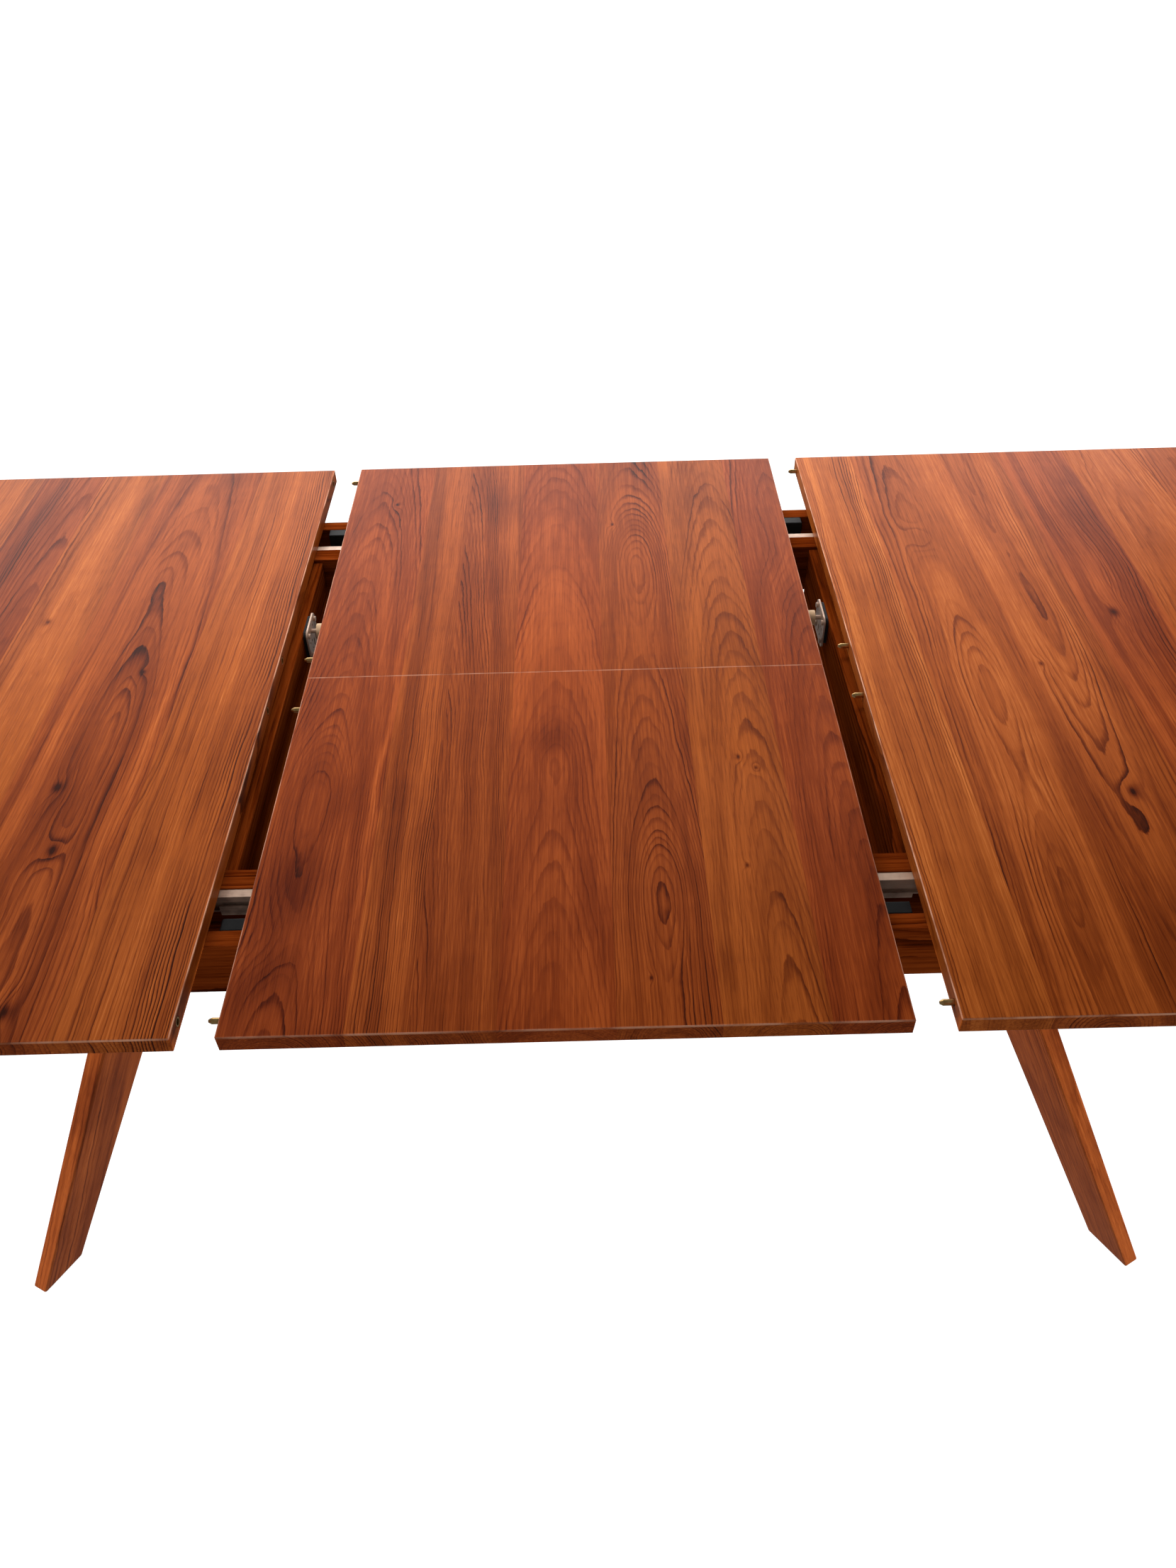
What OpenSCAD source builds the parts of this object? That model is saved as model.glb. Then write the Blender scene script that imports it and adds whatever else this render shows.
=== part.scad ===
// Extendable dining table with a folding butterfly leaf, shown pulled open with the leaf up.
// Origin on the floor under the middle of the leaf, +X along the way it extends, +Z up.
// Parts that come in fours are drawn once in the +X +Y corner and mirrored.

/* [Top] */
// Height of the top face above the floor
table_h = 762; // [740:1:790]
// Width of the table, front to rear
top_w = 1016; // [960:1:1100]
// Thickness of the top and leaf panels
panel_t = 19; // [19:0.5:22]
// Length of each end top
end_top_l = 762; // [600:1:900]
// Length of the leaf
leaf_l = 610; // [600:1:630]
// Gap between the leaf and each end top when pulled open
open_gap = 40; // [35:1:45]
// Width of the seam between the two leaf halves
seam = 0.3; // [0.2:0.1:0.6]

/* [Base] */
// Distance from the middle to the outer face of an apron
apron_y = 390; // [388:1:392]
// Thickness of the aprons
apron_t = 20; // [19:1:21]
// Depth of the aprons and slide rails
apron_h = 70; // [68:1:74]
// Distance from the middle to the inner face of a slide rail
slide_rail_y = 290; // [288:1:291]
// Thickness of the slide rails
slide_rail_t = 26; // [24:1:26]
// Distance from the middle to the inner face of a cross rail
cross_rail_x = 335; // [335:1:337]
// Depth of the cross rails
cross_rail_h = 94; // [80:1:100]
// Thickness of the cross rails and end rails
cross_rail_t = 22; // [20:1:24]
// Distance from the middle to the inner face of an end rail
end_rail_x = 420; // [418:1:422]

/* [Legs] */
// Lean of a leg from upright, outward along the table
leg_splay = 24.1; // [23.5:0.1:24.5]
// Turn of a leg board about its own length
leg_turn = 59.8; // [58:0.1:62]
// Width of a leg board at the floor
leg_w_foot = 63; // [60:1:66]
// Width of a leg board at the top
leg_w_top = 78; // [74:1:80]
// Thickness of a leg board
leg_t = 21.5; // [20:0.5:23]
// Distance from the middle to the outer edge of a foot, along the table
foot_x = 748; // [740:1:756]
// Distance from the middle to the outer edge of a foot, across the table
foot_y = 388; // [386:1:390]

/* [Leaf] */
// Distance from the middle to the leaf's swing pivot
pivot_y = 142; // [138:1:143]
// Depth of the swing pivot below the top face
pivot_drop = 33; // [32:0.5:36]
// Diameter of the pivot rod
rod_d = 19; // [16:1:20]
// Height of the fold axis above the top face
fold_lift = 0.3; // [0.2:0.1:0.6]

/* [Pins] */
// Diameter of the brass alignment pins
pin_d = 6; // [5:0.5:6]
// Length of a pin that stands proud of the edge
pin_proud = 12.5; // [10:0.5:14]
// Distance from the middle to the inner pins
pin_y_near = 48; // [40:1:60]
// Distance from the middle to the outer pins
pin_y_far = 483; // [470:1:490]

/* [Slides] */
// Height of the steel slide members
slide_h = 27; // [27:0.5:28]
// Length of each steel slide member
slide_l = 330; // [300:5:330]
// Thickness of the slide sheet
sheet_t = 1.5; // [1.2:0.1:1.8]
// Length of the runners under the end tops
runner_l = 330; // [300:10:340]

/* [Hidden] */
$fn = 64;
EPS = 0.01;
FAR = 400;

walnut = [0.46, 0.22, 0.12];
walnut_orange = [0.62, 0.30, 0.15];
walnut_dark = [0.33, 0.16, 0.09];
maple = [0.80, 0.66, 0.50];
brass = [0.80, 0.60, 0.30];
zinc = [0.70, 0.69, 0.66];
black = [0.05, 0.05, 0.06];
felt = [0.30, 0.28, 0.26];

// Heights
under_z = table_h - panel_t;
rail_gap = 0.5;
cross_drop = 5;
rail_top_z = under_z - rail_gap;
rail_low_z = rail_top_z - apron_h;
cross_top_z = under_z - cross_drop;
pivot_z = table_h - pivot_drop;
pin_z = table_h - panel_t / 2;
shy = 1;
slide_top_z = rail_top_z - shy;
slide_low_z = slide_top_z - slide_h;

// Places along the table
end_top_x = leaf_l / 2 + open_gap;
slide_x0 = end_top_x + 3 - slide_l;
middle_x0 = slide_x0 + end_top_x / 2;
runner_inset = 25;
runner_x0 = end_top_x + runner_inset;
runner_x1 = runner_x0 + runner_l;
apron_end_x = 470;
corner_block_x = 372;

// Places across the table, from the slide rail out to the apron
slide_y = slide_rail_y + slide_rail_t;
slide_depth = 10;
runner_y = slide_y + 13;
runner_w = 24;
stiffener_w = 16;
stiffener_h = 42;
stiffener_y = apron_y - apron_t - stiffener_w;
leg_notch_y = stiffener_y + shy;
notch_room = 2;
lip_low = 7.5;
lip_tall = 13;
ball_gap = 1.2;

// Small parts
glide_h = 2.5;
glide_r = 9;
dowel_r = 4;
dowel_l = 38;
dowel_in_apron = 24;
dowel_drops = [40, 68];
all_pin_ys = [-pin_y_far, -pin_y_near, pin_y_near, pin_y_far];
rear_ys = [pin_y_near, pin_y_far];
front_ys = [-pin_y_near, -pin_y_far];
pin_embed = 12;
socket_r = 4.5;
socket_bore_r = 3.25;
socket_depth = 14;
socket_floor = 0.5;
running = 0.05;
stub_r = 3;
stub_l = 12;
stub_embed = 8;
rod_x = 320.5;
plate_t = 2;
plate_x = 328.5;
plate_w = 54;
plate_h = 44;
plate_corner = 8;
plate_screw_ys = [-18, 22];
plate_screw_zs = [-24, 4];
pad_inset = 3;
carrier_x = 190;
carrier_l = 40;
carrier_w = 44;
carrier_drop = 16;
carrier_screw_y = 17;
hinge_xs = [-230, 0, 230];
barrel_r = 6;
barrel_l = 22;
tongue_r = 9;
tongue_t = 4;
tongue_cover = 2.5;
tongue_room = 0.4;
screw_r = 2;
screw_head_r = 4;
pan_head_r = 3.4;
screw_head_h = 2.6;
screw_inset = 30;
screw_bite = 12;

leg_plan = atan(tan(leg_turn) * cos(leg_splay));

// Mirrors a part drawn in the +X +Y corner into the corner with signs sx, sy
module corner(sx, sy) {
    mirror([sx < 0 ? 1 : 0, 0, 0]) mirror([0, sy < 0 ? 1 : 0, 0]) children();
}

module every_corner() {
    for (sx = [-1, 1], sy = [-1, 1]) corner(sx, sy) children();
}

// Box given by its two opposite corners
module block(low, high) {
    translate(low) cube(high - low);
}

// Rectangle with true round corners, centred
module round_rect(w, h, r) {
    square([w - 2 * r, h], center = true);
    square([w, h - 2 * r], center = true);
    for (x = [-1, 1], y = [-1, 1]) translate([x * (w / 2 - r), y * (h / 2 - r)]) circle(r);
}

// Plate of thickness t standing in the YZ plane, outline drawn in (y, z)
module yz_plate(t) {
    rotate([90, 0, 90]) linear_extrude(t) children();
}

// ---------- legs and frame ----------

// Slanting board of a leg. With room beyond its edges and a great thickness it cuts its neighbours
module leg_board(beyond_edge, thickness) {
    run = table_h / cos(leg_splay);
    extra = 60;
    slope = (leg_w_top - leg_w_foot) / run;
    translate([foot_x, foot_y, 0]) rotate([0, -leg_splay, 0]) rotate([0, 0, leg_turn])
        rotate([90, 0, 0]) linear_extrude(thickness) polygon([
            [beyond_edge, -extra],
            [beyond_edge, run + extra],
            [-leg_w_top - beyond_edge - slope * extra, run + extra],
            [-leg_w_foot - beyond_edge + slope * extra, -extra]
        ]);
}

// Takes away everything outside the inner broad face of the corner's leg
module leg_cutter() {
    reach = 200;
    leg_board(reach, reach);
}

module dowel_places() {
    for (drop = dowel_drops) {
        outward = foot_y - apron_y + apron_t / 2;
        face_x = foot_x - tan(leg_splay) * (table_h - drop) - outward / tan(leg_plan);
        translate([face_x - dowel_in_apron, apron_y - apron_t / 2, table_h - drop]) rotate([0, 90, 0])
            cylinder(r = dowel_r, h = dowel_l);
    }
}

module leg(sx, sy) {
    color(walnut) corner(sx, sy) difference() {
        intersection() {
            leg_board(0, leg_t);
            block([0, 0, glide_h], [FAR * 3, FAR * 2, rail_top_z - shy]);
        }
        block([0, 0, rail_low_z - shy], [FAR * 3, leg_notch_y, table_h]);
        dowel_places();
    }
}

module apron(sy) {
    color(walnut_dark) difference() {
        corner(1, sy)
            block([-apron_end_x, apron_y - apron_t, rail_low_z], [apron_end_x, apron_y, rail_top_z]);
        for (sx = [-1, 1]) corner(sx, sy) {
            leg_cutter();
            dowel_places();
        }
    }
}

module slide_rail(sy) {
    color(walnut) corner(1, sy)
        block([-end_rail_x, slide_rail_y, rail_low_z], [end_rail_x, slide_y, rail_top_z]);
}

// Bracket screws run along X from the plate into the cross rail
module bracket_screw_places() {
    for (dy = plate_screw_ys, dz = plate_screw_zs) translate([plate_x, pivot_y + dy, pivot_z + dz])
        rotate([0, 90, 0]) {
            translate([0, 0, -screw_head_h]) cylinder(r = pan_head_r, h = screw_head_h);
            cylinder(r = screw_r, h = cross_rail_x - plate_x + screw_bite);
        }
}

module cross_rail(sx) {
    color(walnut_dark) corner(sx, 1) difference() {
        block([cross_rail_x, -slide_rail_y, cross_top_z - cross_rail_h],
              [cross_rail_x + cross_rail_t, slide_rail_y, cross_top_z]);
        bracket_screw_places();
    }
}

// End rail, notched at both ends so that the runners pass over it
module end_rail(sx) {
    notch_y = slide_y - notch_room;
    notch_z = slide_top_z - slide_h - 2 * notch_room;
    color(walnut_dark) corner(sx, 1) difference() {
        block([end_rail_x, -leg_notch_y, rail_low_z],
              [end_rail_x + cross_rail_t, leg_notch_y, rail_top_z - shy]);
        for (sy = [-1, 1]) corner(1, sy)
            block([end_rail_x - shy, notch_y, notch_z], [end_rail_x + cross_rail_t + shy, FAR, table_h]);
    }
}

module corner_block(sx, sy) {
    color(maple) corner(sx, sy) difference() {
        block([corner_block_x, leg_notch_y, rail_low_z + shy],
              [apron_end_x, apron_y - apron_t, rail_top_z - shy]);
        leg_cutter();
    }
}

module foot_glides() {
    half_w = leg_w_foot / 2;
    color(black) every_corner()
        translate([foot_x - cos(leg_plan) * half_w + sin(leg_plan) * leg_t / 2,
                   foot_y - sin(leg_plan) * half_w - cos(leg_plan) * leg_t / 2, 0])
            cylinder(r = glide_r, h = glide_h);
}

module leg_dowels() {
    color(maple) every_corner() dowel_places();
}

// Black steel tube that stiffens an apron beside the leaf well
module stiffener(sy) {
    wall = 2;
    low_z = rail_top_z - rail_gap - stiffener_h;
    color(black) corner(1, sy) difference() {
        block([-cross_rail_x, stiffener_y, low_z],
              [cross_rail_x, stiffener_y + stiffener_w, low_z + stiffener_h]);
        block([-FAR, stiffener_y + wall, low_z + wall],
              [FAR, stiffener_y + stiffener_w - wall, low_z + stiffener_h - wall]);
    }
}

module leaf_rest_pads() {
    pad_r = 9;
    pad_xs = [120, 270];
    free = 0.1;
    color(felt) every_corner() for (x = pad_xs)
        translate([x, slide_rail_y + slide_rail_t / 2, rail_top_z]) cylinder(r = pad_r, h = rail_gap - free);
}

// ---------- telescopic steel slides ----------

// One lip of the fixed channel is taller than the other
function lower_lip(sx) = sx < 0 ? lip_tall : lip_low;
function upper_lip(sx) = lip_tall + lip_low - lower_lip(sx);

// Middle of the slot between the lips
function slot_z(sx) = slide_low_z + (slide_h + lower_lip(sx) - upper_lip(sx)) / 2;

// Channel fixed to a slide rail
module slide_outer(sx, sy) {
    color(zinc) corner(sx, sy) translate([slide_x0, slide_y, slide_low_z]) {
        cube([slide_l, sheet_t, slide_h]);
        for (z = [0, slide_h - sheet_t]) translate([0, 0, z]) cube([slide_l, slide_depth, sheet_t]);
        translate([0, slide_depth - sheet_t, 0]) cube([slide_l, sheet_t, lower_lip(sx)]);
        translate([0, slide_depth - sheet_t, slide_h - upper_lip(sx)]) cube([slide_l, sheet_t, upper_lip(sx)]);
    }
}

// Half-speed member that runs inside the fixed channel
module slide_middle(sx, sy) {
    clear = sheet_t + ball_gap;
    depth = slide_depth - sheet_t - ball_gap;
    color(zinc) corner(sx, sy) translate([middle_x0, slide_y, slide_low_z]) {
        translate([0, clear, clear]) cube([slide_l, sheet_t, slide_h - 2 * clear]);
        for (z = [clear, slide_h - clear - sheet_t]) translate([0, clear, z])
            cube([slide_l, depth - clear, sheet_t]);
    }
}

// Member screwed to the runner of an end top; its bar runs inside the middle member
module slide_inner(sx, sy) {
    bar_h = 4;
    face_h = 22;
    bar_in = 5.5;
    face_y = runner_y - sheet_t;
    color(zinc) corner(sx, sy) {
        translate([runner_x0, slide_y + bar_in, slot_z(sx) - bar_h / 2])
            cube([slide_l, face_y - slide_y - bar_in, bar_h]);
        translate([runner_x0, face_y, slide_low_z + (slide_h - face_h) / 2]) cube([slide_l, sheet_t, face_h]);
    }
}

// ---------- end tops ----------

module runner_screw_places() {
    for (x = [runner_x0 + screw_inset, (runner_x0 + runner_x1) / 2, runner_x1 - screw_inset])
        translate([x, runner_y + runner_w / 2, under_z - slide_h]) {
            cylinder(r1 = screw_head_r, r2 = screw_r, h = screw_head_h);
            cylinder(r = screw_r, h = slide_h + screw_bite);
        }
}

module runner(sx, sy) {
    color(maple) corner(sx, sy) difference() {
        block([runner_x0, runner_y, under_z - slide_h], [runner_x1, runner_y + runner_w, under_z]);
        runner_screw_places();
    }
}

module runner_screws(sx) {
    color(zinc) for (sy = [-1, 1]) corner(sx, sy) runner_screw_places();
}

// Panel of an end top in the +X half, without its edge bores
module end_panel() {
    difference() {
        block([end_top_x, -top_w / 2, under_z], [end_top_x + end_top_l, top_w / 2, table_h]);
        for (sy = [-1, 1]) corner(1, sy) runner_screw_places();
    }
}

module pin_spots(ys) {
    for (y = ys) translate([0, y, pin_z]) children();
}

// Brass pin along -X from the edge at x = 0, with its embedded end in +X
module pin() {
    tip = 3;
    rotate([0, -90, 0]) {
        translate([0, 0, -pin_embed]) cylinder(d = pin_d, h = pin_embed + pin_proud - tip);
        translate([0, 0, pin_proud - tip]) cylinder(d1 = pin_d, d2 = pin_d / 2, h = tip);
    }
}

// Brass bush whose mouth is flush with an edge that faces +X
module socket() {
    rotate([0, -90, 0]) difference() {
        cylinder(r = socket_r, h = socket_depth);
        translate([0, 0, -EPS]) cylinder(r = socket_bore_r, h = socket_depth - socket_floor);
    }
}

module socket_bore() {
    translate([EPS, 0, 0]) rotate([0, -90, 0]) cylinder(r = socket_r, h = socket_depth + EPS);
}

module left_top() {
    color(walnut_orange) difference() {
        corner(-1, 1) end_panel();
        translate([-end_top_x, 0, 0]) pin_spots(all_pin_ys) socket_bore();
    }
}

module left_pin_sockets() {
    color(brass) translate([-end_top_x, 0, 0]) pin_spots(all_pin_ys) socket();
}

module right_top() {
    color(walnut_orange) difference() {
        end_panel();
        translate([end_top_x, 0, 0]) pin_spots(all_pin_ys) pin();
    }
}

module right_top_pins() {
    color(brass) translate([end_top_x, 0, 0]) pin_spots(all_pin_ys) pin();
}

// ---------- folding leaf ----------

module leaf_half(ys) {
    low_y = ys[0] > 0 ? seam / 2 : -top_w / 2;
    high_y = ys[0] > 0 ? top_w / 2 : -seam / 2;
    difference() {
        block([-leaf_l / 2, low_y, under_z], [leaf_l / 2, high_y, table_h]);
        translate([-leaf_l / 2, 0, 0]) pin_spots(ys) pin();
        translate([leaf_l / 2, 0, 0]) pin_spots(ys) socket_bore();
        for (x = hinge_xs) translate([x, 0, pin_z]) barrel_bore(ys[0] > 0 ? 1 : -1);
    }
}

module barrel_bore(sy) {
    rotate([-90 * sy, 0, 0]) cylinder(r = barrel_r, h = barrel_l);
}

// Disc about the fold axis, centred on x = 0
module fold_disc(r, t) {
    translate([0, 0, table_h + fold_lift]) rotate([0, 90, 0]) cylinder(r = r, h = t, center = true);
}

// Tongue of a concealed hinge: the part of a disc about the fold axis that lies in the front half
module fold_tongue() {
    intersection() {
        fold_disc(tongue_r, tongue_t);
        block([-tongue_t, -tongue_r, under_z], [tongue_t, seam / 2, table_h - tongue_cover]);
    }
}

// Room that the tongue turns in
module tongue_pocket() {
    fold_disc(tongue_r + tongue_room, tongue_t + 2 * tongue_room);
}

module rear_leaf() {
    color(walnut) difference() {
        leaf_half(rear_ys);
        for (sx = [-1, 1]) corner(sx, 1) carrier_screw_places();
    }
}

module front_leaf() {
    color(walnut) difference() {
        leaf_half(front_ys);
        for (x = hinge_xs) translate([x, 0, 0]) intersection() {
            tongue_pocket();
            block([-tongue_t, -2 * tongue_r, under_z], [tongue_t, 0, table_h - tongue_cover + tongue_room]);
        }
    }
}

module rear_hinge_barrels() {
    color(brass) for (x = hinge_xs) translate([x, 0, 0]) {
        intersection() {
            translate([0, 0, pin_z]) barrel_bore(1);
            block([-FAR, seam / 2, 0], [FAR, FAR, table_h]);
        }
        fold_tongue();
    }
}

module front_hinge_barrels() {
    color(brass) for (x = hinge_xs) translate([x, 0, 0]) difference() {
        translate([0, 0, pin_z]) barrel_bore(-1);
        block([-FAR, -seam / 2, 0], [FAR, FAR, table_h]);
        tongue_pocket();
    }
}

module rear_leaf_pins() {
    color(brass) translate([-leaf_l / 2, 0, 0]) pin_spots(rear_ys) pin();
}

module front_leaf_pins() {
    color(brass) translate([-leaf_l / 2, 0, 0]) pin_spots(front_ys) pin();
}

module rear_leaf_sockets() {
    color(brass) translate([leaf_l / 2, 0, 0]) pin_spots(rear_ys) socket();
}

module front_leaf_sockets() {
    color(brass) translate([leaf_l / 2, 0, 0]) pin_spots(front_ys) socket();
}

// ---------- leaf pivot ----------

// Screws up through a carrier into the leaf, on the side of the rod away from the seam
module carrier_screw_places() {
    for (dx = [-12, 12]) translate([carrier_x + dx, pivot_y + carrier_screw_y, pivot_z - carrier_drop]) {
        cylinder(r1 = screw_head_r, r2 = screw_r, h = screw_head_h);
        cylinder(r = screw_r, h = under_z - pivot_z + carrier_drop + screw_bite);
    }
}

module rod_carrier(sx) {
    color(walnut_dark) corner(sx, 1) difference() {
        block([carrier_x - carrier_l / 2, pivot_y - carrier_w / 2, pivot_z - carrier_drop],
              [carrier_x + carrier_l / 2, pivot_y + carrier_w / 2, under_z]);
        translate([0, pivot_y, pivot_z]) rotate([0, 90, 0]) cylinder(r = rod_d / 2 + running, h = FAR);
        carrier_screw_places();
    }
}

module carrier_screws() {
    color(zinc) for (sx = [-1, 1]) corner(sx, 1) carrier_screw_places();
}

module stub_places() {
    for (sx = [-1, 1]) corner(sx, 1) translate([rod_x - stub_embed, pivot_y, pivot_z])
        rotate([0, 90, 0]) cylinder(r = stub_r, h = stub_embed + stub_l);
}

module pivot_rod() {
    color(maple) difference() {
        translate([-rod_x, pivot_y, pivot_z]) rotate([0, 90, 0]) cylinder(d = rod_d, h = 2 * rod_x);
        stub_places();
    }
}

module rod_end_pins() {
    color(zinc) stub_places();
}

// Outline of the stamped bracket about the pivot, drawn in (y, z)
module bracket_outline(inset) {
    translate([2, -10]) round_rect(plate_w - 2 * inset, plate_h - 2 * inset, plate_corner);
}

module bracket_slots() {
    for (y = [4, 16]) translate([y, -19]) {
        square([4, 8], center = true);
        for (z = [-4, 4]) translate([0, z]) circle(2);
    }
}

module bracket_holes() {
    for (p = [[-14, -9], [-6, -22], [26, -10], [10, 3], [-6, -10], [20, -28]]) translate(p) circle(1.6);
}

module pivot_bracket(sx) {
    color(zinc) corner(sx, 1) difference() {
        translate([plate_x, pivot_y, pivot_z]) yz_plate(plate_t) difference() {
            bracket_outline(0);
            bracket_slots();
            bracket_holes();
            circle(stub_r + running);
        }
        bracket_screw_places();
    }
}

module bracket_pads() {
    pad_x = plate_x + plate_t;
    color(black) for (sx = [-1, 1]) corner(sx, 1) difference() {
        translate([pad_x, pivot_y, pivot_z]) yz_plate(cross_rail_x - pad_x) difference() {
            bracket_outline(pad_inset);
            circle(stub_r + running);
        }
        bracket_screw_places();
    }
}

module bracket_screws() {
    color(zinc) for (sx = [-1, 1]) corner(sx, 1) bracket_screw_places();
}

apron(-1);  // apron_front
apron(1);  // apron_rear
slide_rail(-1);  // slide_rail_front
slide_rail(1);  // slide_rail_rear
cross_rail(-1);  // cross_rail_left
cross_rail(1);  // cross_rail_right
end_rail(-1);  // end_rail_left
end_rail(1);  // end_rail_right
leg(-1, -1);  // leg_front_left
leg(1, -1);  // leg_front_right
leg(-1, 1);  // leg_rear_left
leg(1, 1);  // leg_rear_right
corner_block(-1, -1);  // corner_block_front_left
corner_block(1, -1);  // corner_block_front_right
corner_block(-1, 1);  // corner_block_rear_left
corner_block(1, 1);  // corner_block_rear_right
foot_glides();
leg_dowels();
stiffener(-1);  // stiffener_front
stiffener(1);  // stiffener_rear
slide_outer(-1, -1);  // slide_outer_front_left
slide_outer(1, -1);  // slide_outer_front_right
slide_outer(-1, 1);  // slide_outer_rear_left
slide_outer(1, 1);  // slide_outer_rear_right
pivot_bracket(-1);  // pivot_bracket_left
pivot_bracket(1);  // pivot_bracket_right
bracket_pads();
bracket_screws();
leaf_rest_pads();
left_top();
runner(-1, -1);  // left_runner_front
runner(-1, 1);  // left_runner_rear
slide_inner(-1, -1);  // left_slide_inner_front
slide_inner(-1, 1);  // left_slide_inner_rear
runner_screws(-1);  // left_runner_screws
left_pin_sockets();
right_top();
runner(1, -1);  // right_runner_front
runner(1, 1);  // right_runner_rear
slide_inner(1, -1);  // right_slide_inner_front
slide_inner(1, 1);  // right_slide_inner_rear
runner_screws(1);  // right_runner_screws
right_top_pins();
slide_middle(-1, -1);  // left_slide_middle_front
slide_middle(-1, 1);  // left_slide_middle_rear
slide_middle(1, -1);  // right_slide_middle_front
slide_middle(1, 1);  // right_slide_middle_rear
rear_leaf();
pivot_rod();
rod_end_pins();
rod_carrier(-1);  // rod_carrier_left
rod_carrier(1);  // rod_carrier_right
carrier_screws();
rear_hinge_barrels();
rear_leaf_pins();
rear_leaf_sockets();
front_leaf();
front_hinge_barrels();
front_leaf_pins();
front_leaf_sockets();
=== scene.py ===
"""Looks of the extendable walnut table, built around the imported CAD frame."""

from collections import namedtuple
from math import radians

import bpy
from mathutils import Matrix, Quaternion, Vector

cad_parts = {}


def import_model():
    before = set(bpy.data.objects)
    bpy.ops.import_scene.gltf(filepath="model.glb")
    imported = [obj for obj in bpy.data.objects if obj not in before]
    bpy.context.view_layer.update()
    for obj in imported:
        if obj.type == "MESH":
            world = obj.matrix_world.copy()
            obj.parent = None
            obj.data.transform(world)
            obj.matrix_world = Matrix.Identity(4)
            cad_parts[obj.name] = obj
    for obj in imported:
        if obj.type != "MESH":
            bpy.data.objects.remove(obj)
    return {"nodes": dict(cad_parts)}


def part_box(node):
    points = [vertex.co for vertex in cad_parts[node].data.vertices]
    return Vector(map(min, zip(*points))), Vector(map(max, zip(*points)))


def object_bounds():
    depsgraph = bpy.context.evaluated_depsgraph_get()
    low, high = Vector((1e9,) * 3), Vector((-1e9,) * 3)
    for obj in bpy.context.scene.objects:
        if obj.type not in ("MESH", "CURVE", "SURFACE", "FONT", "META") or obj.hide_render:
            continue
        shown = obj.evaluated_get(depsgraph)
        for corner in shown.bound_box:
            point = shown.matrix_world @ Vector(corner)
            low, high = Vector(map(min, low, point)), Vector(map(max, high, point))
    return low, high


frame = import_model()
cad_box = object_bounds()
nodes = frame["nodes"]

MM = 0.001


def span_x(node):
    """A CAD node's lowest and highest x."""
    low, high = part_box(node)
    return low.x, high.x


TABLE_TOP = cad_box[1].z
SIDES = (cad_box[0].y, cad_box[1].y)
SEAM = 0.0
LEFT_SPAN = span_x("left_top")
RIGHT_SPAN = span_x("right_top")
LEAF_SPAN = span_x("rear_leaf")


# ---------- shader arithmetic ----------

class Value:
    """A number in a node tree. Ordinary arithmetic on it adds Math nodes."""

    def __init__(self, shader, socket):
        self.shader = shader
        self.socket = socket

    def math(self, operation, *others):
        node = self.shader.tree.nodes.new("ShaderNodeMath")
        node.operation = operation
        for socket, operand in zip(node.inputs, (self, *others)):
            self.shader.feed(socket, operand)
        return Value(self.shader, node.outputs[0])

    def __add__(self, other):
        return self.math("ADD", other)

    def __sub__(self, other):
        return self.math("SUBTRACT", other)

    def __mul__(self, other):
        return self.math("MULTIPLY", other)

    def __truediv__(self, other):
        return self.math("DIVIDE", other)

    def __rsub__(self, other):
        return self.math("MULTIPLY_ADD", -1, other)

    __radd__ = __add__
    __rmul__ = __mul__

    def squared(self):
        return self * self

    def ramp(self, low, high, to_low=0.0, to_high=1.0):
        """Smooth step from to_low, at low, to to_high, at high."""
        node = self.shader.tree.nodes.new("ShaderNodeMapRange")
        node.interpolation_type = "SMOOTHSTEP"
        for name, operand in (("Value", self), ("From Min", low), ("From Max", high),
                              ("To Min", to_low), ("To Max", to_high)):
            self.shader.feed(node.inputs[name], operand)
        return Value(self.shader, node.outputs["Result"])


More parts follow.
